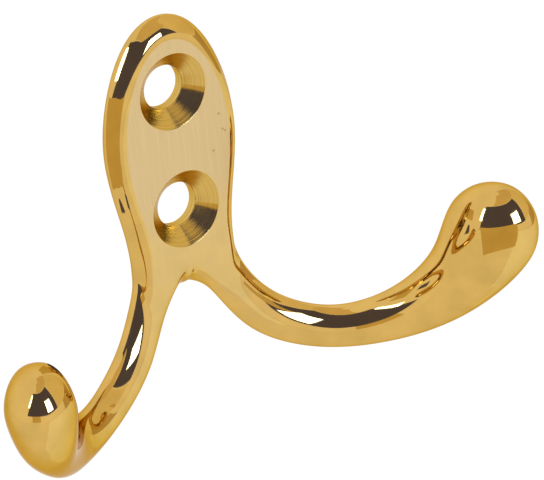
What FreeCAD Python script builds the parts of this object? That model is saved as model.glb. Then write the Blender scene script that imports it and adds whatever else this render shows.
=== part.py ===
import FreeCAD, Part
import collections
import math
import os

# A double robe hook, cast in brass as one piece and screwed to a wall. A thin oval plate has two
# countersunk screw holes, one above the other. Below them it forks into two arms, which sweep down,
# forward and up and swell into rounded ends. The two sides mirror each other.
# The origin is midway between the screw holes on the wall plane. X points right, Y into the wall and
# Z up. Lengths are in millimetres and angles in degrees. "Out" is the distance from the wall.

# Wall plate: an oval that narrows to a neck
PLATE_THICKNESS = 3.0
PLATE_WIDTH = 16.7
PLATE_HEIGHT = 29.6
PLATE_CENTRE_Z = 0.5
BORDER_WIDTH = 1.6      # rounded border, from the outline in to the flat front
BORDER_STRETCH = 1.4    # the border is this many times wider at the top of the oval
CORNER_INSET = 0.45     # a point half way up the border, in from the outline
CORNER_DROP = 0.75      # and behind the front
SIDE_DROP = 1.4         # the outline is widest this far behind the front
BACK_EDGE_OUT = 0.8     # from here to the wall the outline rounds in
FRONT_STOCK = 0.12      # metal in front of the plate before it is ground flat
BACK_STOCK = 0.3        # metal behind the wall plane before the back is ground flat
NECK_WIDTH = 13.4
NECK_Z = -10.3

# Screw holes
HOLE_SPACING = 14.0
BORE_DIAMETER = 5.0
COUNTERSINK_DEPTH = 1.85
COUNTERSINK_ANGLE = 90.0

# Fork below the lower hole
FORK_Z = -15.9
FORK_HALF_WIDTH = 1.25
FORK_DROP = 0.15
FORK_ROUND = 2.35
SHOULDER_WIDTH = 13.1
SHOULDER_Z = -13.4
SHOULDER_ANGLE = 22.5

# Arm's centre line: an arc down, an arc up and a straight end, leaning forward on an arc in plan
ARM_START_X = 5.5
ARM_START_Z = -17.8
ARM_START_OUT = 1.4
DOWN_RADIUS = 14.65
DOWN_ANGLE = 64.75
UP_RADIUS = 17.9
UP_ANGLE = 59.65
STRAIGHT_END = 7.2
PLAN_ANGLE = 14.05
PLAN_RADIUS = 49.3

# Arm's oval section, from the slim part to the rounded end
ARM_DEPTH = 4.7
ARM_THICKNESS = 2.9
END_DEPTH = 10.7
END_THICKNESS = 8.1
END_CAP = 6.65          # length from the thickest section to the tip
SWELL_LEAD = 1.6        # the section starts to grow this far before the lowest point
SWELL_POWER = 1.55

# The skin is drawn as rows of points on the real surface
OVAL_ROWS = 5
OVAL_STEP = 30.0
NECK_ROW = OVAL_ROWS
FORK_ROW = NECK_ROW + 1
FIRST_RING = FORK_ROW + 1
RINGS = 9
LAST_RING = FIRST_RING + RINGS - 1
LAST_RING_IN_CAP = 0.5  # share of the end cap that the last ring of points stands at
PULLS = 12              # rounds in which the net is pulled until its skin meets the points
TANGENT_STEP = 0.1
SEW_TOLERANCE = 0.001
CUT_MARGIN = 1.0

# Lines of points along plate and arm, in order around the arm, with their angle there
RING_LINES = ("front_inner", "front_middle", "front_edge", "side",
              "back_edge", "back_middle", "back_inner", "belly")
RING_START = -45.0
RING_STEP = 45.0
EDGE_LINES = RING_LINES[1:6]

FRONT_OUT = PLATE_THICKNESS
CREST_OUT = FRONT_OUT + FRONT_STOCK
BACK_OUT = -BACK_STOCK
SIDE_OUT = FRONT_OUT - SIDE_DROP
UPPER_HOLE_Z = HOLE_SPACING / 2
LOWER_HOLE_Z = -HOLE_SPACING / 2
BORE_RADIUS = BORE_DIAMETER / 2
COUNTERSINK_SLOPE = math.tan(math.radians(COUNTERSINK_ANGLE / 2))
RIM_RADIUS = BORE_RADIUS + COUNTERSINK_DEPTH * COUNTERSINK_SLOPE


def put(points, line, row, x, out, z):
    """Add a point and its mirror image, or one point on the middle plane."""
    sides = (1, -1) if x else (0,)
    for side in sides:
        points[(line, row, side)] = FreeCAD.Vector(side * x, -out, z)


def edge_insets():
    """Each outline line of the plate, its distance in from the outline and its distance out."""
    insets = (BORDER_WIDTH, CORNER_INSET, 0.0, 0.0, BORDER_WIDTH)
    outs = (FRONT_OUT, FRONT_OUT - CORNER_DROP, SIDE_OUT, BACK_EDGE_OUT, BACK_OUT)
    return tuple(zip(EDGE_LINES, insets, outs))


def plate_points(points):
    """Points of the plate: its oval outline, its neck, and the columns inside them."""
    half_width = PLATE_WIDTH / 2
    half_height = PLATE_HEIGHT / 2
    row_z = {NECK_ROW: NECK_Z}
    for row in range(OVAL_ROWS):
        angle = math.radians(90.0 - OVAL_STEP * row)
        row_z[row] = PLATE_CENTRE_Z + half_height * math.sin(angle)
        for line, inset, out in edge_insets():
            x = (half_width - inset) * math.cos(angle) if row else 0.0
            z = PLATE_CENTRE_Z + (half_height - BORDER_STRETCH * inset) * math.sin(angle)
            put(points, line, row, x, out, z)
    for line, inset, out in edge_insets():
        put(points, line, NECK_ROW, NECK_WIDTH / 2 - inset, out, NECK_Z)
    # The middle columns end inside the upper screw hole, where the hole removes their corners
    column = RIM_RADIUS / 2
    row_z[1] = UPPER_HOLE_Z + column
    for face, out in (("front", CREST_OUT), ("back", BACK_OUT)):
        for row in range(1, FORK_ROW):
            put(points, face + "_centre", row, 0.0, out, row_z[row])
            put(points, face + "_inner", row, column, out, row_z[row])


def fork_points(points):
    """Points of the row where the plate divides into the two arms."""
    inner_z = FORK_Z - FORK_DROP
    for face, out, rise in (("front", FRONT_OUT, FORK_ROUND), ("back", BACK_OUT, 0.0)):
        put(points, face + "_centre", FORK_ROW, 0.0, out, FORK_Z + rise)
        put(points, face + "_inner", FORK_ROW, FORK_HALF_WIDTH, out, inner_z + rise)
    put(points, "fork", FORK_ROW, 0.0, SIDE_OUT, FORK_Z)
    put(points, "belly", FORK_ROW, FORK_HALF_WIDTH, SIDE_OUT, inner_z)
    angle = math.radians(SHOULDER_ANGLE)
    for line, inset, out in edge_insets():
        x = SHOULDER_WIDTH / 2 - inset * math.cos(angle)
        put(points, line, FORK_ROW, x, out, SHOULDER_Z - inset * math.sin(angle))


def arm_lengths():
    """Distances along the arm: to its lowest point, its thickest section and its tip."""
    low = DOWN_RADIUS * math.radians(DOWN_ANGLE)
    tip = low + UP_RADIUS * math.radians(UP_ANGLE) + STRAIGHT_END
    return low, tip - END_CAP, tip


def arm_centre(length):
    """Point of the arm's centre line, as x, out and z, at a distance along it."""
    low, _, _ = arm_lengths()
    down = math.radians(DOWN_ANGLE)
    turn = down - length / DOWN_RADIUS
    along = DOWN_RADIUS * (math.sin(down) - math.sin(turn))
    z = ARM_START_Z - DOWN_RADIUS * (math.cos(turn) - math.cos(down))
    if length > low:
        up = math.radians(UP_ANGLE)
        turn = min((length - low) / UP_RADIUS, up)
        straight = length - low - UP_RADIUS * turn
        along = DOWN_RADIUS * math.sin(down) + UP_RADIUS * math.sin(turn) + straight * math.cos(up)
        z = ARM_START_Z - DOWN_RADIUS * (1 - math.cos(down))
        z += UP_RADIUS * (1 - math.cos(turn)) + straight * math.sin(up)
    start = math.radians(PLAN_ANGLE)
    heading = start + along / PLAN_RADIUS
    x = ARM_START_X + PLAN_RADIUS * (math.sin(heading) - math.sin(start))
    out = ARM_START_OUT + PLAN_RADIUS * (math.cos(start) - math.cos(heading))
    return FreeCAD.Vector(x, out, z)


def arm_section(length):
    """Half depth and half thickness of the arm at a distance along it."""
    low, thickest, tip = arm_lengths()
    if length > thickest:
        share = math.sqrt(1 - ((length - thickest) / (tip - thickest)) ** 2)
        return share * END_DEPTH / 2, share * END_THICKNESS / 2
    swell_start = low - SWELL_LEAD
    swell = max(0.0, (length - swell_start) / (thickest - swell_start)) ** SWELL_POWER
    depth = ARM_DEPTH + swell * (END_DEPTH - ARM_DEPTH)
    thickness = ARM_THICKNESS + swell * (END_THICKNESS - ARM_THICKNESS)
    return depth / 2, thickness / 2


def arm_points(points):
    """Rings of points around the arm, and the point at its tip."""
    _, thickest, tip = arm_lengths()
    last = thickest + LAST_RING_IN_CAP * END_CAP
    front = FreeCAD.Vector(0.0, 1.0, 0.0)
    for ring in range(RINGS):
        length = last * ring / (RINGS - 1)
        along = arm_centre(length + TANGENT_STEP) - arm_centre(length - TANGENT_STEP)
        along.normalize()
        front = front - along * front.dot(along)
        front.normalize()
        throat = along.cross(front)
        half_depth, half_thickness = arm_section(length)
        for index, line in enumerate(RING_LINES):
            angle = math.radians(RING_START + RING_STEP * index)
            offset = front * half_thickness * math.cos(angle) + throat * half_depth * math.sin(angle)
            place = arm_centre(length) + offset
            put(points, line, FIRST_RING + ring, place.x, place.y, place.z)
    end = arm_centre(tip)
    put(points, "tip", LAST_RING, end.x, end.y, end.z)


def net_faces(points):
    """Four-sided faces between the points, on both sides, all facing outwards."""
    faces = []

    def add(*corners):
        for side in (1, -1):
            keys = [(line, row, 0 if (line, row, 0) in points else side) for line, row in corners]
            faces.append(keys[::-side])

    def strip(one, other, first, last):
        for row in range(first, last):
            add((one, row), (other, row), (other, row + 1), (one, row + 1))

    for one, other in zip(EDGE_LINES, EDGE_LINES[1:]):
        strip(one, other, 0, LAST_RING)
    strip("front_inner", "front_middle", 1, LAST_RING)
    strip("back_middle", "back_inner", 1, LAST_RING)
    strip("front_centre", "front_inner", 1, FORK_ROW)
    strip("back_inner", "back_centre", 1, FORK_ROW)
    strip("belly", "front_inner", FORK_ROW, LAST_RING)
    strip("back_inner", "belly", FORK_ROW, LAST_RING)
    add(("front_centre", 1), ("front_middle", 0), ("front_middle", 1), ("front_inner", 1))
    add(("back_centre", 1), ("back_inner", 1), ("back_middle", 1), ("back_middle", 0))
    add(("front_centre", FORK_ROW), ("front_inner", FORK_ROW), ("belly", FORK_ROW), ("fork", FORK_ROW))
    add(("fork", FORK_ROW), ("belly", FORK_ROW), ("back_inner", FORK_ROW), ("back_centre", FORK_ROW))
    for index in range(1, len(RING_LINES), 2):
        around = [RING_LINES[(index + step) % len(RING_LINES)] for step in range(3)]
        add(("tip", LAST_RING), *[(line, LAST_RING) for line in around])
    return faces


def mean(vectors):
    total = FreeCAD.Vector()
    for vector in vectors:
        total = total + vector
    return total * (1 / len(vectors))


def skin_points(net, faces):
    """Control points of the smooth skin over the net.

    The first set holds those inside each patch, by face and corner. The second holds those that
    patches share: at a point of the net by its key, and beside it along an edge by a pair of keys.
    """
    valence = collections.Counter(key for face in faces for key in face)
    inner = {}
    shared = collections.defaultdict(list)
    for number, face in enumerate(faces):
        for corner, key in enumerate(face):
            following, opposite, previous = [face[(corner + step) % 4] for step in (1, 2, 3)]
            beside = (net[following] + net[previous]) * 2 + net[opposite]
            point = (net[key] * valence[key] + beside) * (1 / (valence[key] + 5))
            inner[(number, corner)] = point
            for place in (key, (key, following), (key, previous)):
                shared[place].append(point)
    return inner, {place: mean(group) for place, group in shared.items()}


def pulled_net(points, faces):
    """Net whose smooth skin passes through the points."""
    net = dict(points)
    for _ in range(PULLS):
        _, shared = skin_points(net, faces)
        for key, point in points.items():
            net[key] = net[key] + point - shared[key]
    return net


def patch(inner, shared, number, face):
    """Bicubic face over one face of the net, meeting its neighbours smoothly."""
    a, b, c, d = face
    poles = (
        (shared[a], shared[(a, b)], shared[(b, a)], shared[b]),
        (shared[(a, d)], inner[(number, 0)], inner[(number, 1)], shared[(b, c)]),
        (shared[(d, a)], inner[(number, 3)], inner[(number, 2)], shared[(c, b)]),
        (shared[d], shared[(d, c)], shared[(c, d)], shared[c]),
    )
    surface = Part.BezierSurface()
    surface.increase(3, 3)
    for row, line in enumerate(poles, start=1):
        for column, pole in enumerate(line, start=1):
            surface.setPole(row, column, pole)
    return surface.toShape()


def casting():
    """The solid before its flat faces are ground and its holes are drilled."""
    points = {}
    plate_points(points)
    fork_points(points)
    arm_points(points)
    faces = net_faces(points)
    inner, shared = skin_points(pulled_net(points, faces), faces)
    shell = Part.makeShell([patch(inner, shared, number, face) for number, face in enumerate(faces)])
    shell.sewShape(SEW_TOLERANCE)
    return Part.makeSolid(shell)


def ground_blocks(solid):
    """Blocks of metal to grind away: all that is behind the wall plane, and the plate's front stock."""
    box = solid.BoundBox
    left = box.XMin - CUT_MARGIN
    width = box.XLength + 2 * CUT_MARGIN
    bottom = box.ZMin - CUT_MARGIN
    top = box.ZMax + CUT_MARGIN
    behind = FreeCAD.Vector(left, 0.0, bottom)
    before = FreeCAD.Vector(left, -CREST_OUT - CUT_MARGIN, ARM_START_Z)
    return [
        Part.makeBox(width, box.YMax + CUT_MARGIN, top - bottom, behind),
        Part.makeBox(width, FRONT_STOCK + CUT_MARGIN, top - ARM_START_Z, before),
    ]


def screw_hole(z):
    """Tool for one countersunk screw hole at a height."""
    start = FreeCAD.Vector(0.0, -FRONT_OUT - CUT_MARGIN, z)
    into_wall = FreeCAD.Vector(0.0, 1.0, 0.0)
    mouth = RIM_RADIUS + CUT_MARGIN * COUNTERSINK_SLOPE
    cone = Part.makeCone(mouth, BORE_RADIUS, COUNTERSINK_DEPTH + CUT_MARGIN, start, into_wall)
    shank = Part.makeCylinder(BORE_RADIUS, PLATE_THICKNESS + 2 * CUT_MARGIN, start, into_wall)
    return cone.fuse(shank)


def robe_hook():
    solid = casting()
    holes = [screw_hole(z) for z in (UPPER_HOLE_Z, LOWER_HOLE_Z)]
    return solid.cut(ground_blocks(solid) + holes)


os.makedirs("parts", exist_ok=True)
hook = robe_hook()
hook.exportStep("parts/robe_hook.step")
print("volume", round(hook.Volume, 1), "valid", hook.isValid(), "solids", len(hook.Solids))
print("box", hook.BoundBox)
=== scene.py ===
import collections
import math
import bmesh
import bpy
from mathutils import Matrix, Vector


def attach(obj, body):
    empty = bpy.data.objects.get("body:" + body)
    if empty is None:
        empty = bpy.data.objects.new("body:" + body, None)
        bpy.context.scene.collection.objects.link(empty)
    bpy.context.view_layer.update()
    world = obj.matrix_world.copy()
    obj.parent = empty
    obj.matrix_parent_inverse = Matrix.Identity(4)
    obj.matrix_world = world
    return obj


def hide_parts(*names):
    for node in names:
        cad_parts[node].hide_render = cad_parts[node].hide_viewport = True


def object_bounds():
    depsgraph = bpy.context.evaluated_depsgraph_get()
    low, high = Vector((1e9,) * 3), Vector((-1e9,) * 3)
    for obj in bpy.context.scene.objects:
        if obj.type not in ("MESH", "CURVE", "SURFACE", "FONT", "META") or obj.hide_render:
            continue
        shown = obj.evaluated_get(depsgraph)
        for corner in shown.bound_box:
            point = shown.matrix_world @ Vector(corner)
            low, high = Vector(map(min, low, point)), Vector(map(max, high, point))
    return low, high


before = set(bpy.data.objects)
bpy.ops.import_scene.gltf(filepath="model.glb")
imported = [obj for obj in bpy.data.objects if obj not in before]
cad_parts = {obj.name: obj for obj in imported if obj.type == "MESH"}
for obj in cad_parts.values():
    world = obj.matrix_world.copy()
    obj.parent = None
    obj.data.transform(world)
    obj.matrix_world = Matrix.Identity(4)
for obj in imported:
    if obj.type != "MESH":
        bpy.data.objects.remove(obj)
cad_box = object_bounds()

# Camera, as it stood for the photograph. Angles are in degrees and lengths in metres.
PHOTO_WIDTH = 544
PHOTO_HEIGHT = 480
PHOTO_ORIGIN = (162.4, 137.9)        # pixel of the photograph where CAMERA_CENTRE shows
PHOTO_SCALE = 9224.0                 # pixels to a metre there
CAMERA_CENTRE = Vector((0.0, 0.0, 0.0005))
CAMERA_AZIMUTH = -33.07
CAMERA_ELEVATION = 24.25
CAMERA_ROLL = -6.66
CAMERA_DISTANCE = 2.5
SENSOR_WIDTH = 36.0                  # millimetres

# Studio: a white tent with a dark opening for the camera, two lamps and tinted cards. Lengths are in metres.
ORIGIN = Vector((0.0, 0.0, 0.0))
TENT_COLOUR = (1.0, 1.0, 1.0)
TENT_LIGHT = 1.08
WALL_DISTANCE = 0.9
LAMP_DISTANCE = 0.8
NEAR_CARD_DISTANCE = 0.012
CARD_STEPS = 12
ARM_CARD_CENTRE = Vector((-0.008, -0.0024, -0.0185))
FLAG_X = -0.0125
FLAG_DEPTH = 0.012
FLAG_LOW_Z = -0.0055
FLAG_HIGH_Z = 0.009
FLOOR_DROP = 1.0                     # floor below the lowest point of the hook
FLOOR_SIZE = 12.0
FLOOR_COLOUR = (0.95, 0.95, 0.95)
FLOOR_ROUGHNESS = 0.9

# Light that the cards give off, in linear colours
LAMP = (5.0, 7.0, 14.0)              # bluish, so that its reflection in the brass comes out white
DARK = (0.105, 0.105, 0.26)
SHADE = (0.68, 0.56, 0.37)
PALE_SHADE = (0.85, 0.73, 0.5)
LIGHT_SHADE = (0.97, 0.9, 0.68)
WARM = (0.76, 0.62, 0.32)
PAPER = (1.12, 1.2, 1.32)

# Curved cards, in degrees: the elevations of their low and high edges, and each edge's span of azimuths
Card = collections.namedtuple("Card", "low low_span high high_span")
CAMERA_OPENING = Card(low=3, low_span=(-76, 44), high=50, high_span=(-58, 44))
UPPER_SHADE = Card(low=51, low_span=(-38, 105), high=80, high_span=(-15, 115))
RIGHT_SHADE = Card(low=-16, low_span=(70, 104), high=2, high_span=(70, 104))
HIGH_SHADE = Card(low=3, low_span=(46, 104), high=51, high_span=(46, 105))
WARM_WALL = Card(low=-8, low_span=(-58, -30), high=3, high_span=(-58, -30))
PAPER_WALL = Card(low=-75, low_span=(0, 110), high=-14, high_span=(0, 110))
WINDOW = Card(low=7, low_span=(1, 25), high=28, high_span=(1, 25))
SIDE_LAMP = Card(low=17, low_span=(-76, -69), high=44, high_span=(-65, -58))
END_FLAG = Card(low=-27, low_span=(-56, 2), high=18, high_span=(-67, 8))
ARM_FLAG = Card(low=12, low_span=(-84, -52), high=48, high_span=(-73, -42))

# Finishes of the brass: linear colours, the shares of them and the roughnesses between which they vary
POLISHED = (0.635, 0.398, 0.104)
POLISHED_SHADES = (0.93, 1.07)
POLISHED_ROUGHNESS = (0.03, 0.07)
SATIN = (0.622, 0.428, 0.193)
SATIN_SHADES = (0.96, 1.04)
SATIN_ROUGHNESS = (0.16, 0.24)
TURNED = (0.62, 0.4, 0.1)
TURNED_SHADES = (0.86, 1.06)
TURNED_ROUGHNESS = (0.1, 0.17)
TURNED_STRETCH = 0.7                 # how far the drill's rings draw out a reflection
BACK_SHADES = (0.75, 1.0)
BACK_ROUGHNESS = (0.35, 0.5)
EDGE_TINT = (0.72, 0.55, 0.33)

# Where the front is satin, in millimetres
SATIN_LAYER = "satin"
SATIN_FULL_Z = -3.0                  # it fades between these heights
SATIN_LOW_Z = -13.0
SATIN_LOW = 0.38                     # to this share
SATIN_END_X = 15.0                   # and is gone this far along the arms
SATIN_NORMAL = 0.75                  # or where the metal faces less far forward than this

# Relief of the finishes: features to a metre, and depths in metres
NOISE_MIDDLE = (0.3, 0.7)            # nearly all of a noise lies between these
WAVE_SCALE = (230.0, 230.0, 230.0)
WAVE_DETAIL = 1.0
WAVE_DEPTH = 2e-5
PATCH_SCALE = (350.0, 350.0, 350.0)
PATCH_DETAIL = 3.0
TURNED_PATCH_DETAIL = 2.0
BRUSH_SCALE = (3600.0, 3600.0, 160.0)
BRUSH_DETAIL = 3.0
BRUSH_DEPTH = 1.2e-6
RING_SCALE = 4000.0
RING_DETAIL = 3.0
RING_DEPTH = 1.2e-5
GRAIN_SCALE = (300.0, 300.0, 4000.0)
GRAIN_DETAIL = 4.0
GRAIN_DEPTH = 4e-6
DINGS = ((5.6, 2.4), (5.9, 0.5), (4.4, -1.6), (6.2, 0.2))  # x and z of marks on the front, in millimetres
DING_RADIUS = 0.22                   # millimetres
DING_DEPTH = 2e-5
# Painted shade: the middle of each dent is painted as this share of the satin colour, darker
DING_PAINTED_SHADE = 0.62

# Sockets of a Mix node that blends colours
MIX_SHARE = 0
MIX_ONE = 6
MIX_OTHER = 7
MIX_RESULT = 2

# The casting's sizes, in millimetres and degrees. "Out" is the distance from the wall.
MILLIMETRE = 0.001
PLATE_THICKNESS = 3.0
PLATE_WIDTH = 16.7
PLATE_HEIGHT = 29.6
PLATE_CENTRE_Z = 0.5
BORDER_WIDTH = 1.6
BORDER_STRETCH = 1.4
CORNER_INSET = 0.45
CORNER_DROP = 0.75
SIDE_DROP = 1.4
BACK_EDGE_OUT = 0.8
FRONT_STOCK = 0.12
BACK_STOCK = 0.3
NECK_WIDTH = 13.4
NECK_Z = -10.3
HOLE_SPACING = 14.0
BORE_RADIUS = 2.5
COUNTERSINK_DEPTH = 1.85
COUNTERSINK_SLOPE = 45.0
LIP_RADIUS = 0.12                    # the countersinks' rims are slightly rounded
LIP_STEPS = 4
HOLE_SEGMENTS = 160
FORK_Z = -15.9
FORK_HALF_WIDTH = 1.25
FORK_DROP = 0.15
FORK_ROUND = 2.35
SHOULDER_WIDTH = 13.1
SHOULDER_Z = -13.4
SHOULDER_ANGLE = 22.5
ARM_START_X = 5.5
ARM_START_Z = -17.8
ARM_START_OUT = 1.4
DOWN_RADIUS = 14.65
DOWN_ANGLE = 64.75
UP_RADIUS = 17.9
UP_ANGLE = 59.65
STRAIGHT_END = 7.2
PLAN_ANGLE = 14.05
PLAN_RADIUS = 49.3
ARM_DEPTH = 4.7
ARM_THICKNESS = 2.9
END_DEPTH = 10.7
END_THICKNESS = 8.1
END_CAP = 6.65
SWELL_LEAD = 1.6
SWELL_POWER = 1.55

# Rows and lines of points that the casting's skin passes through
OVAL_ROWS = 5
OVAL_TOP = 90.0
OVAL_STEP = 30.0
NECK_ROW = OVAL_ROWS
FORK_ROW = NECK_ROW + 1
FIRST_RING = FORK_ROW + 1
RINGS = 9
LAST_RING = FIRST_RING + RINGS - 1
LAST_RING_IN_CAP = 0.5
EDGE_LINES = ("front_middle", "front_edge", "side", "back_edge", "back_middle")
RING_LINES = ("front_inner", *EDGE_LINES, "back_inner", "belly")
RING_START = -45.0
RING_STEP = 45.0
TANGENT_STEP = 0.1
PULLS = 12
EDGE_PULL = 2                        # weight of a neighbour along an edge, where an opposite corner has 1
SKIN_LEVELS = 4
CREST_OUT = PLATE_THICKNESS + FRONT_STOCK
SIDE_OUT = PLATE_THICKNESS - SIDE_DROP
RIM_RADIUS = BORE_RADIUS + COUNTERSINK_DEPTH * math.tan(math.radians(COUNTERSINK_SLOPE))
HOLE_HEIGHTS = (HOLE_SPACING / 2, -HOLE_SPACING / 2)
NEAR = 1e-8                          # metres within which points count as on a plane
CREASE_ANGLE = 40.0                  # edges that turn further than this stay sharp

# Finishes of the mesh's faces, in the order of its materials
BODY, HOLE_WALL, BACK = range(3)


# Camera

def direction(azimuth, elevation):
    """Unit vector from the hook. Azimuth 0 is straight out from the wall, positive to the right."""
    turn = math.radians(azimuth)
    lift = math.radians(elevation)
    return Vector((math.sin(turn) * math.cos(lift), -math.cos(turn) * math.cos(lift), math.sin(lift)))


def facing(place, towards, up):
    """Matrix of an object at a place whose -Z axis points at another place."""
    back = (place - towards).normalized()
    right = up.cross(back).normalized()
    rotation = Matrix((right, back.cross(right), back)).transposed()
    return Matrix.Translation(place) @ rotation.to_4x4()


def add_camera():
    """Camera that sees the hook as the photograph does."""
    back = direction(CAMERA_AZIMUTH, CAMERA_ELEVATION)
    level = Vector((0.0, 0.0, 1.0)).cross(back).normalized()
    upright = back.cross(level)
    roll = math.radians(CAMERA_ROLL)
    right = level * math.cos(roll) + upright * math.sin(roll)
    up = upright * math.cos(roll) - level * math.sin(roll)
    across = (PHOTO_WIDTH - 1) / 2 - PHOTO_ORIGIN[0]
    down = (PHOTO_HEIGHT - 1) / 2 - PHOTO_ORIGIN[1]
    aim = CAMERA_CENTRE + (right * across - up * down) / PHOTO_SCALE
    place = CAMERA_CENTRE + back * CAMERA_DISTANCE
    camera = bpy.data.objects.new("camera", bpy.data.cameras.new("camera"))
    camera.matrix_world = facing(place, aim, up)
    camera.data.sensor_width = SENSOR_WIDTH
    camera.data.lens = PHOTO_SCALE * CAMERA_DISTANCE / PHOTO_WIDTH * SENSOR_WIDTH
    bpy.context.scene.collection.objects.link(camera)
    bpy.context.scene.camera = camera


# The casting's skin

def put(points, line, row, x, out, z):
    """Add a point and its mirror image, or one point on the middle plane."""
    for side in (1, -1) if x else (0,):
        points[(line, row, side)] = Vector((side * x, -out, z))


def edge_insets():
    """Each outline line of the plate, its distance in from the outline and its distance out."""
    insets = (BORDER_WIDTH, CORNER_INSET, 0.0, 0.0, BORDER_WIDTH)
    outs = (PLATE_THICKNESS, PLATE_THICKNESS - CORNER_DROP, SIDE_OUT, BACK_EDGE_OUT, -BACK_STOCK)
    return tuple(zip(EDGE_LINES, insets, outs))


def plate_points(points):
    """Rows of points down the oval plate and across its neck."""
    half_width = PLATE_WIDTH / 2
    half_height = PLATE_HEIGHT / 2
    row_z = {NECK_ROW: NECK_Z}
    for row in range(OVAL_ROWS):
        angle = math.radians(OVAL_TOP - OVAL_STEP * row)
        row_z[row] = PLATE_CENTRE_Z + half_height * math.sin(angle)
        for line, inset, out in edge_insets():
            x = (half_width - inset) * math.cos(angle) if row else 0.0
            z = PLATE_CENTRE_Z + (half_height - BORDER_STRETCH * inset) * math.sin(angle)
            put(points, line, row, x, out, z)
    for line, inset, out in edge_insets():
        put(points, line, NECK_ROW, NECK_WIDTH / 2 - inset, out, NECK_Z)
    column = RIM_RADIUS / 2
    row_z[1] = HOLE_HEIGHTS[0] + column
    for face, out in (("front", CREST_OUT), ("back", -BACK_STOCK)):
        for row in range(1, FORK_ROW):
            put(points, face + "_centre", row, 0.0, out, row_z[row])
            put(points, face + "_inner", row, column, out, row_z[row])


def fork_points(points):
    """Row of points through the fork and the shoulders beside it."""
    inner_z = FORK_Z - FORK_DROP
    for face, out, rise in (("front", PLATE_THICKNESS, FORK_ROUND), ("back", -BACK_STOCK, 0.0)):
        put(points, face + "_centre", FORK_ROW, 0.0, out, FORK_Z + rise)
        put(points, face + "_inner", FORK_ROW, FORK_HALF_WIDTH, out, inner_z + rise)
    put(points, "fork", FORK_ROW, 0.0, SIDE_OUT, FORK_Z)
    put(points, "belly", FORK_ROW, FORK_HALF_WIDTH, SIDE_OUT, inner_z)
    angle = math.radians(SHOULDER_ANGLE)
    for line, inset, out in edge_insets():
        x = SHOULDER_WIDTH / 2 - inset * math.cos(angle)
        put(points, line, FORK_ROW, x, out, SHOULDER_Z - inset * math.sin(angle))


def arm_lengths():
    """Distances along the arm: to its lowest point, its thickest section and its tip."""
    low = DOWN_RADIUS * math.radians(DOWN_ANGLE)
    tip = low + UP_RADIUS * math.radians(UP_ANGLE) + STRAIGHT_END
    return low, tip - END_CAP, tip


def arm_centre(length):
    """Point of the arm's centre line, as x, out and z, at a distance along it."""
    low, _, _ = arm_lengths()
    down = math.radians(DOWN_ANGLE)
    turn = down - length / DOWN_RADIUS
    along = DOWN_RADIUS * (math.sin(down) - math.sin(turn))
    z = ARM_START_Z - DOWN_RADIUS * (math.cos(turn) - math.cos(down))
    if length > low:
        up = math.radians(UP_ANGLE)
        turn = min((length - low) / UP_RADIUS, up)
        straight = length - low - UP_RADIUS * turn
        along = DOWN_RADIUS * math.sin(down) + UP_RADIUS * math.sin(turn) + straight * math.cos(up)
        z = ARM_START_Z - DOWN_RADIUS * (1 - math.cos(down))
        z += UP_RADIUS * (1 - math.cos(turn)) + straight * math.sin(up)
    start = math.radians(PLAN_ANGLE)
    heading = start + along / PLAN_RADIUS
    x = ARM_START_X + PLAN_RADIUS * (math.sin(heading) - math.sin(start))
    out = ARM_START_OUT + PLAN_RADIUS * (math.cos(start) - math.cos(heading))
    return Vector((x, out, z))


def arm_section(length):
    """Half depth and half thickness of the arm at a distance along it."""
    low, thickest, tip = arm_lengths()
    if length > thickest:
        share = math.sqrt(1 - ((length - thickest) / (tip - thickest)) ** 2)
        return share * END_DEPTH / 2, share * END_THICKNESS / 2
    swell_start = low - SWELL_LEAD
    swell = max(0.0, (length - swell_start) / (thickest - swell_start)) ** SWELL_POWER
    depth = ARM_DEPTH + swell * (END_DEPTH - ARM_DEPTH)
    thickness = ARM_THICKNESS + swell * (END_THICKNESS - ARM_THICKNESS)
    return depth / 2, thickness / 2


def arm_points(points):
    """Rings of points around the arm, and the point at its tip."""
    _, thickest, tip = arm_lengths()
    last = thickest + LAST_RING_IN_CAP * END_CAP
    front = Vector((0.0, 1.0, 0.0))
    for ring in range(RINGS):
        length = last * ring / (RINGS - 1)
        along = (arm_centre(length + TANGENT_STEP) - arm_centre(length - TANGENT_STEP)).normalized()
        front = (front - along * front.dot(along)).normalized()
        throat = along.cross(front)
        half_depth, half_thickness = arm_section(length)
        for index, line in enumerate(RING_LINES):
            angle = math.radians(RING_START + RING_STEP * index)
            offset = front * half_thickness * math.cos(angle) + throat * half_depth * math.sin(angle)
            put(points, line, FIRST_RING + ring, *(arm_centre(length) + offset))
    put(points, "tip", LAST_RING, *arm_centre(tip))


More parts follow.
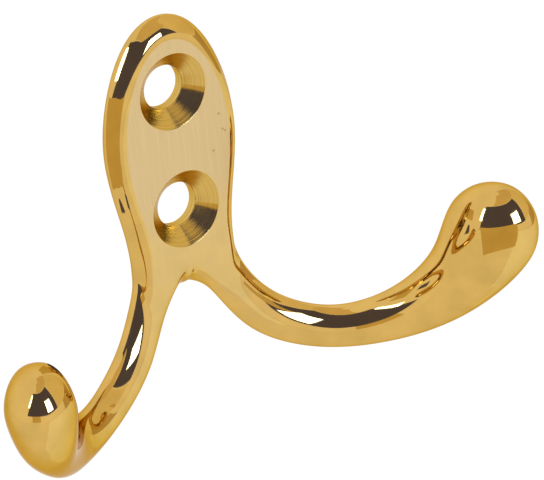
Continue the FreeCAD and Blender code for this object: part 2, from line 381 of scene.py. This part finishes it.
def net_faces(points):
    """Four-sided faces between the points, on both sides, all facing outwards."""
    faces = []

    def add(*corners):
        for side in (1, -1):
            keys = [(line, row, 0 if (line, row, 0) in points else side) for line, row in corners]
            faces.append(keys[::-side])

    def strip(one, other, first, last):
        for row in range(first, last):
            add((one, row), (other, row), (other, row + 1), (one, row + 1))

    for one, other in zip(EDGE_LINES, EDGE_LINES[1:]):
        strip(one, other, 0, LAST_RING)
    strip("front_inner", "front_middle", 1, LAST_RING)
    strip("back_middle", "back_inner", 1, LAST_RING)
    strip("front_centre", "front_inner", 1, FORK_ROW)
    strip("back_inner", "back_centre", 1, FORK_ROW)
    strip("belly", "front_inner", FORK_ROW, LAST_RING)
    strip("back_inner", "belly", FORK_ROW, LAST_RING)
    add(("front_centre", 1), ("front_middle", 0), ("front_middle", 1), ("front_inner", 1))
    add(("back_centre", 1), ("back_inner", 1), ("back_middle", 1), ("back_middle", 0))
    add(("front_centre", FORK_ROW), ("front_inner", FORK_ROW), ("belly", FORK_ROW), ("fork", FORK_ROW))
    add(("fork", FORK_ROW), ("belly", FORK_ROW), ("back_inner", FORK_ROW), ("back_centre", FORK_ROW))
    for index in range(1, len(RING_LINES), 2):
        around = [RING_LINES[(index + step) % len(RING_LINES)] for step in range(3)]
        add(("tip", LAST_RING), *[(line, LAST_RING) for line in around])
    return faces


def pulled_net(points, faces):
    """Net whose subdivided skin passes through the points.

    A point of the skin is a weighted mean of the net's points around it. The net is moved by what the skin
    still misses, several times over.
    """
    net = dict(points)
    valence = collections.Counter(key for face in faces for key in face)
    for _ in range(PULLS):
        skin = {key: Vector() for key in net}
        for face in faces:
            for corner, key in enumerate(face):
                following, opposite, previous = face[corner + 1:] + face[:corner]
                beside = (net[following] + net[previous]) * EDGE_PULL + net[opposite]
                share = (net[key] * valence[key] + beside) / (valence[key] + 2 * EDGE_PULL + 1)
                skin[key] += share / valence[key]
        for key, point in points.items():
            net[key] = net[key] + point - skin[key]
    return net


def made_mesh(name, holder):
    """Mesh of an object with its modifiers applied. The object goes."""
    bpy.context.scene.collection.objects.link(holder)
    bpy.context.view_layer.update()
    made = bpy.data.meshes.new_from_object(holder.evaluated_get(bpy.context.evaluated_depsgraph_get()))
    made.name = name
    bpy.data.objects.remove(holder)
    return made


def skin_mesh():
    """Fine mesh of the casting before its flat faces are ground."""
    points = {}
    plate_points(points)
    fork_points(points)
    arm_points(points)
    faces = net_faces(points)
    net = pulled_net(points, faces)
    place = {key: number for number, key in enumerate(net)}
    mesh = bpy.data.meshes.new("net")
    mesh.from_pydata([point * MILLIMETRE for point in net.values()], [],
                     [[place[key] for key in face] for face in faces])
    holder = bpy.data.objects.new("net", mesh)
    smooth = holder.modifiers.new("smooth", "SUBSURF")
    smooth.levels = SKIN_LEVELS
    smooth.use_limit_surface = True
    return made_mesh("skin", holder)


# Grinding and drilling

def grind(mesh):
    """Grind the plate's front flat, and cut off what is behind the wall plane."""
    shape = bmesh.new()
    shape.from_mesh(mesh)
    front_y = -PLATE_THICKNESS * MILLIMETRE
    half = PLATE_WIDTH / 2 * MILLIMETRE

    def on_plate(place):
        return place.z > ARM_START_Z * MILLIMETRE and abs(place.x) < half

    plate = [face for face in shape.faces if all(on_plate(corner.co) for corner in face.verts)]
    edges = {edge for face in plate for edge in face.edges}
    corners = {corner for face in plate for corner in face.verts}
    bmesh.ops.bisect_plane(shape, geom=[*plate, *edges, *corners], dist=NEAR,
                           plane_co=(0.0, front_y, 0.0), plane_no=(0.0, -1.0, 0.0))
    for corner in shape.verts:
        if on_plate(corner.co) and corner.co.y < front_y + NEAR:
            corner.co.y = front_y
    bmesh.ops.bisect_plane(shape, geom=[*shape.faces, *shape.edges, *shape.verts], dist=NEAR,
                           plane_co=(0.0, 0.0, 0.0), plane_no=(0.0, 1.0, 0.0), clear_outer=True)
    rim = [edge for edge in shape.edges if edge.is_boundary]
    bmesh.ops.holes_fill(shape, edges=rim, sides=0)
    shape.to_mesh(mesh)
    shape.free()
    return mesh


def hole_profile():
    """Radius and distance out of a screw hole's wall, from behind the wall to in front of the lip."""
    slope = math.radians(COUNTERSINK_SLOPE)
    seat_out = PLATE_THICKNESS - COUNTERSINK_DEPTH
    profile = [(BORE_RADIUS, -BACK_STOCK), (BORE_RADIUS, seat_out)]
    lip_radius = RIM_RADIUS + LIP_RADIUS * math.tan(slope / 2)
    for step in range(LIP_STEPS):
        lean = slope * (1 - step / LIP_STEPS)
        radius = lip_radius - LIP_RADIUS * math.sin(lean)
        profile.append((radius, PLATE_THICKNESS - LIP_RADIUS * (1 - math.cos(lean))))
    # Past the front, the wall runs straight on at the lip's last lean
    last_radius, last_out = profile[-1]
    reach = FRONT_STOCK / math.tan(lean)
    profile.append((last_radius + reach, last_out + FRONT_STOCK))
    return profile


def hole_tool(height):
    """Closed mesh of the metal that one screw hole removes."""
    shape = bmesh.new()
    rings = []
    for radius, out in hole_profile():
        ring = []
        for segment in range(HOLE_SEGMENTS):
            angle = math.tau * segment / HOLE_SEGMENTS
            place = Vector((radius * math.cos(angle), -out, height + radius * math.sin(angle)))
            ring.append(shape.verts.new(place * MILLIMETRE))
        rings.append(ring)
    for one, other in zip(rings, rings[1:]):
        for segment in range(HOLE_SEGMENTS):
            following = (segment + 1) % HOLE_SEGMENTS
            shape.faces.new((one[segment], one[following], other[following], other[segment]))
    shape.faces.new(rings[0])
    shape.faces.new(rings[-1])
    bmesh.ops.recalc_face_normals(shape, faces=shape.faces)
    mesh = bpy.data.meshes.new("hole_tool")
    shape.to_mesh(mesh)
    shape.free()
    return bpy.data.objects.new("hole_tool", mesh)


def drilled_mesh(mesh):
    """Mesh of the ground casting with both screw holes cut out of it."""
    holder = bpy.data.objects.new("ground", mesh)
    tools = [hole_tool(height) for height in HOLE_HEIGHTS]
    for tool in tools:
        bpy.context.scene.collection.objects.link(tool)
        cut = holder.modifiers.new("hole", "BOOLEAN")
        cut.operation = "DIFFERENCE"
        cut.solver = "EXACT"
        cut.object = tool
    made = made_mesh("cast_hook", holder)
    for tool in tools:
        bpy.data.objects.remove(tool)
    return made


# Finishes of the faces

def is_ground(face):
    """Whether a face is part of the plate's flat front."""
    front_y = -PLATE_THICKNESS * MILLIMETRE
    return all(abs(corner.co.y - front_y) < NEAR for corner in face.verts)


def zone(face):
    """Which finish a face of the mesh has: hole wall, back, or the casting's body."""
    if all(abs(corner.co.y) < NEAR for corner in face.verts):
        return BACK
    if is_ground(face):
        return BODY
    middle = face.calc_center_median() / MILLIMETRE
    for height in HOLE_HEIGHTS:
        if math.hypot(middle.x, middle.z - height) < RIM_RADIUS + LIP_RADIUS:
            return HOLE_WALL
    return BODY


def between(value, start, end):
    """Share of the way from start to end, from 0 to 1, with soft ends."""
    share = min(1.0, max(0.0, (value - start) / (end - start)))
    return share * share * (3 - 2 * share)


def satin_share(face, corner):
    """How satin the metal is at a corner of a face: most on the ground front, less down the neck."""
    place = corner.co / MILLIMETRE
    share = SATIN_LOW + (1 - SATIN_LOW) * between(place.z, SATIN_LOW_Z, SATIN_FULL_Z)
    if is_ground(face):
        return share
    on_neck = 1 - between(place.z, SATIN_LOW_Z, NECK_Z)
    along = 1 - between(abs(place.x), 0.0, SATIN_END_X)
    return share * on_neck * along * between(-corner.normal.y, SATIN_NORMAL, 1.0)


def finish_faces(mesh):
    """Give each face its finish, and keep the edges between flat and curved faces sharp."""
    shape = bmesh.new()
    shape.from_mesh(mesh)
    satin = shape.loops.layers.float.new(SATIN_LAYER)
    for face in shape.faces:
        face.smooth = True
        face.material_index = zone(face)
        for loop in face.loops:
            loop[satin] = satin_share(face, loop.vert)
    for edge in shape.edges:
        kinds = {(face.material_index, is_ground(face)) for face in edge.link_faces}
        edge.smooth = len(kinds) == 1 and edge.calc_face_angle() < math.radians(CREASE_ANGLE)
    shape.to_mesh(mesh)
    shape.free()


# Studio

def plain_emission(name, colour):
    """Material that gives off an even light."""
    material = bpy.data.materials.new(name)
    material.use_nodes = True
    nodes = material.node_tree.nodes
    nodes.clear()
    emission = nodes.new("ShaderNodeEmission")
    output = nodes.new("ShaderNodeOutputMaterial")
    emission.inputs["Color"].default_value = (*colour, 1.0)
    material.node_tree.links.new(emission.outputs["Emission"], output.inputs["Surface"])
    return material


def add_card(name, places, faces, colour):
    """Glowing card that shows only in the metal: neither the camera nor the floor sees it."""
    mesh = bpy.data.meshes.new(name)
    mesh.from_pydata(places, [], faces)
    mesh.materials.append(plain_emission(name, colour))
    card = bpy.data.objects.new(name, mesh)
    card.visible_camera = False
    card.visible_diffuse = False
    card.visible_shadow = False
    bpy.context.scene.collection.objects.link(card)


def add_wall(name, card, distance, colour, centre=ORIGIN):
    """Curved card at a distance from its centre."""
    places = []
    faces = []
    row_length = CARD_STEPS + 1
    for row in range(row_length):
        share = row / CARD_STEPS
        elevation = card.low + (card.high - card.low) * share
        left, right = [one + (other - one) * share for one, other in zip(card.low_span, card.high_span)]
        for column in range(row_length):
            azimuth = left + (right - left) * column / CARD_STEPS
            places.append(centre + direction(azimuth, elevation) * distance)
    for row in range(CARD_STEPS):
        for column in range(CARD_STEPS):
            corner = row * row_length + column
            above = corner + row_length
            faces.append((corner, corner + 1, above + 1, above))
    add_card(name, places, faces, colour)


def add_flag():
    """Small warm card close beside the plate, which tints its left edge."""
    places = [(FLAG_X, out, z) for out, z in ((0.0, FLAG_LOW_Z), (-FLAG_DEPTH, FLAG_LOW_Z),
                                              (-FLAG_DEPTH, FLAG_HIGH_Z), (0.0, FLAG_HIGH_Z))]
    add_card("flag", places, [(0, 1, 2, 3)], WARM)


def add_floor():
    """Plain pale floor, well below the hook."""
    lowest = cad_box[0].z - FLOOR_DROP
    half = FLOOR_SIZE / 2
    corners = [(-half, -half), (half, -half), (half, half), (-half, half)]
    mesh = bpy.data.meshes.new("floor")
    mesh.from_pydata([(x, y, lowest) for x, y in corners], [], [(0, 1, 2, 3)])
    material = bpy.data.materials.new("floor")
    material.use_nodes = True
    shader = material.node_tree.nodes["Principled BSDF"]
    shader.inputs["Base Color"].default_value = (*FLOOR_COLOUR, 1.0)
    shader.inputs["Roughness"].default_value = FLOOR_ROUGHNESS
    mesh.materials.append(material)
    floor = bpy.data.objects.new("floor", mesh)
    bpy.context.scene.collection.objects.link(floor)


def add_tent():
    """Even white light from all around."""
    world = bpy.data.worlds.new("tent")
    world.use_nodes = True
    background = world.node_tree.nodes["Background"]
    background.inputs["Color"].default_value = (*TENT_COLOUR, 1.0)
    background.inputs["Strength"].default_value = TENT_LIGHT
    bpy.context.scene.world = world


def end_centre():
    """Middle of the right arm's thickest section, in metres."""
    _, thickest, _ = arm_lengths()
    x, out, z = arm_centre(thickest)
    return Vector((x, -out, z)) * MILLIMETRE


def add_studio():
    """Tent, far cards, lamps, cards close to the hook, and the floor."""
    add_tent()
    add_wall("camera_opening", CAMERA_OPENING, WALL_DISTANCE, DARK)
    add_wall("upper_shade", UPPER_SHADE, WALL_DISTANCE, PALE_SHADE)
    add_wall("right_shade", RIGHT_SHADE, WALL_DISTANCE, SHADE)
    add_wall("high_shade", HIGH_SHADE, WALL_DISTANCE, LIGHT_SHADE)
    add_wall("warm_wall", WARM_WALL, WALL_DISTANCE, WARM)
    add_wall("paper", PAPER_WALL, WALL_DISTANCE, PAPER)
    add_wall("window", WINDOW, LAMP_DISTANCE, LAMP)
    add_wall("side_lamp", SIDE_LAMP, LAMP_DISTANCE, LAMP)
    add_wall("end_flag", END_FLAG, NEAR_CARD_DISTANCE, WARM, end_centre())
    add_wall("arm_flag", ARM_FLAG, NEAR_CARD_DISTANCE, DARK, ARM_CARD_CENTRE)
    add_flag()
    add_floor()
    bpy.context.scene.view_settings.view_transform = "Standard"


# Materials

def shaded(colour, share):
    """Darker or lighter copy of a colour, opaque."""
    return (*[part * share for part in colour], 1.0)


class Finish:
    """Node tree of one finish of the brass."""

    def __init__(self, name):
        self.material = bpy.data.materials.new(name)
        self.material.use_nodes = True
        self.tree = self.material.node_tree
        self.shader = self.tree.nodes["Principled BSDF"]
        self.set(self.shader, {"Metallic": 1.0, "Specular Tint": (*EDGE_TINT, 1.0)})
        self.place = self.add("TexCoord").outputs["Object"]

    def set(self, node, inputs):
        """Link or set each input of a node."""
        for name, value in inputs.items():
            if isinstance(value, bpy.types.NodeSocket):
                self.tree.links.new(value, node.inputs[name])
            else:
                node.inputs[name].default_value = value

    def add(self, kind, inputs=None, **settings):
        """New node of a kind, with its settings and inputs."""
        node = self.tree.nodes.new("ShaderNode" + kind)
        for name, value in settings.items():
            setattr(node, name, value)
        self.set(node, inputs or {})
        return node

    def math(self, operation, *values):
        """Result of a sum on numbers."""
        return self.add("Math", dict(enumerate(values)), operation=operation).outputs[0]

    def measure(self, operation, *vectors):
        """Length of a vector, or distance between two places."""
        return self.add("VectorMath", dict(enumerate(vectors)), operation=operation).outputs["Value"]

    def noise(self, scale, detail):
        """Noise around 0.5, with its own number of features to a metre along each axis."""
        place = self.add("VectorMath", {0: self.place, 1: scale}, operation="MULTIPLY").outputs["Vector"]
        return self.add("TexNoise", {"Vector": place, "Scale": 1.0, "Detail": detail}).outputs["Fac"]

    def spread(self, fac, low=0.0, high=1.0):
        """Number that goes from low to high over the middle of a noise."""
        start, end = NOISE_MIDDLE
        sockets = {"Value": fac, "From Min": start, "From Max": end, "To Min": low, "To Max": high}
        return self.add("MapRange", sockets).outputs["Result"]

    def blend(self, fac, one, other):
        """Colour that goes from one to the other."""
        sockets = {MIX_SHARE: fac, MIX_ONE: one, MIX_OTHER: other}
        return self.add("Mix", sockets, data_type="RGBA").outputs[MIX_RESULT]

    def varied(self, fac, colour, shades):
        """Colour that goes from its darker shade to its lighter one."""
        darker, lighter = [shaded(colour, share) for share in shades]
        return self.blend(fac, darker, lighter)

    def bump(self, height, depth, under=None):
        """Normal of a relief that is depth metres deep, on top of another where there is one."""
        sockets = {"Height": height, "Distance": depth}
        if under:
            sockets["Normal"] = under
        return self.add("Bump", sockets).outputs["Normal"]


def ding(finish, x, z):
    """Share of one small dent on the front, for its relief and its painted shade: 1 at its middle and 0 from
    its rim outwards.
    """
    distance = finish.measure("DISTANCE", finish.place, Vector((x, -PLATE_THICKNESS, z)) * MILLIMETRE)
    sockets = {"Value": distance, "From Max": DING_RADIUS * MILLIMETRE, "To Min": 1.0, "To Max": 0.0}
    return finish.add("MapRange", sockets, interpolation_type="SMOOTHSTEP").outputs["Result"]


def dings(finish):
    """Share of the small dents on the front, all together, for their relief and their painted shade."""
    first, *others = [ding(finish, x, z) for x, z in DINGS]
    share = first
    for other in others:
        share = finish.math("MAXIMUM", other, share)
    return share


def polished_brass():
    """Buffed casting, with a satin front that was brushed up and down, and painted shade in the middles of
    its small dents.
    """
    finish = Finish("polished_brass")
    satin = finish.add("Attribute", attribute_name=SATIN_LAYER).outputs["Fac"]
    waves = finish.noise(WAVE_SCALE, WAVE_DETAIL)
    patches = finish.noise(PATCH_SCALE, PATCH_DETAIL)
    brushing = finish.noise(BRUSH_SCALE, BRUSH_DETAIL)
    pits = dings(finish)
    gold = finish.varied(finish.spread(patches), POLISHED, POLISHED_SHADES)
    tan = finish.varied(finish.spread(brushing), SATIN, SATIN_SHADES)
    # Painted shade in the dents: the satin colour is darkened towards each dent's middle
    tan_with_painted_shade = finish.blend(pits, tan, shaded(SATIN, DING_PAINTED_SHADE))
    buffed = finish.spread(patches, *POLISHED_ROUGHNESS)
    brushed = finish.math("MULTIPLY", finish.spread(brushing, *SATIN_ROUGHNESS), satin)
    streaks = finish.bump(finish.math("MULTIPLY", brushing, satin), BRUSH_DEPTH)
    dented = finish.bump(finish.math("SUBTRACT", 1.0, pits), DING_DEPTH, streaks)
    finish.set(finish.shader, {
        "Base Color": finish.blend(satin, gold, tan_with_painted_shade),
        "Roughness": finish.math("MAXIMUM", buffed, brushed),
        "Normal": finish.bump(waves, WAVE_DEPTH, dented),
    })
    return finish.material


def turned_brass():
    """Countersinks and bores, with a drill's rings around the hole's axis."""
    finish = Finish("turned_brass")
    parts = finish.add("SeparateXYZ", {0: finish.place}).outputs
    hole_z = finish.math("MULTIPLY", finish.math("SIGN", parts["Z"]), HOLE_SPACING / 2 * MILLIMETRE)
    height = finish.math("SUBTRACT", parts["Z"], hole_z)
    spoke = finish.add("CombineXYZ", {"X": parts["X"], "Z": height}).outputs["Vector"]
    along = finish.math("SUBTRACT", finish.measure("LENGTH", spoke), parts["Y"])
    sockets = {"W": finish.math("MULTIPLY", along, RING_SCALE), "Detail": RING_DETAIL, "Scale": 1.0}
    rings = finish.add("TexNoise", sockets, noise_dimensions="1D").outputs["Fac"]
    patches = finish.noise(PATCH_SCALE, TURNED_PATCH_DETAIL)
    finish.set(finish.shader, {
        "Base Color": finish.varied(finish.spread(rings), TURNED, TURNED_SHADES),
        "Roughness": finish.spread(patches, *TURNED_ROUGHNESS),
        "Anisotropic": TURNED_STRETCH,
        "Tangent": spoke,
        "Normal": finish.bump(rings, RING_DEPTH),
    })
    return finish.material


def ground_back():
    """Back face, rubbed flat on a belt."""
    finish = Finish("ground_back")
    grain = finish.noise(GRAIN_SCALE, GRAIN_DETAIL)
    finish.set(finish.shader, {
        "Base Color": finish.varied(grain, SATIN, BACK_SHADES),
        "Roughness": finish.spread(grain, *BACK_ROUGHNESS),
        "Normal": finish.bump(grain, GRAIN_DEPTH),
    })
    return finish.material


# The hook

def add_hook():
    """The casting as one mesh with its three finishes, in place of the CAD solid."""
    mesh = drilled_mesh(grind(skin_mesh()))
    mesh.materials.clear()
    for finish in (polished_brass, turned_brass, ground_back):
        mesh.materials.append(finish())
    finish_faces(mesh)
    hook = bpy.data.objects.new("cast_hook", mesh)
    bpy.context.scene.collection.objects.link(hook)
    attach(hook, "root")
    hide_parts("robe_hook")


add_hook()
add_camera()
add_studio()
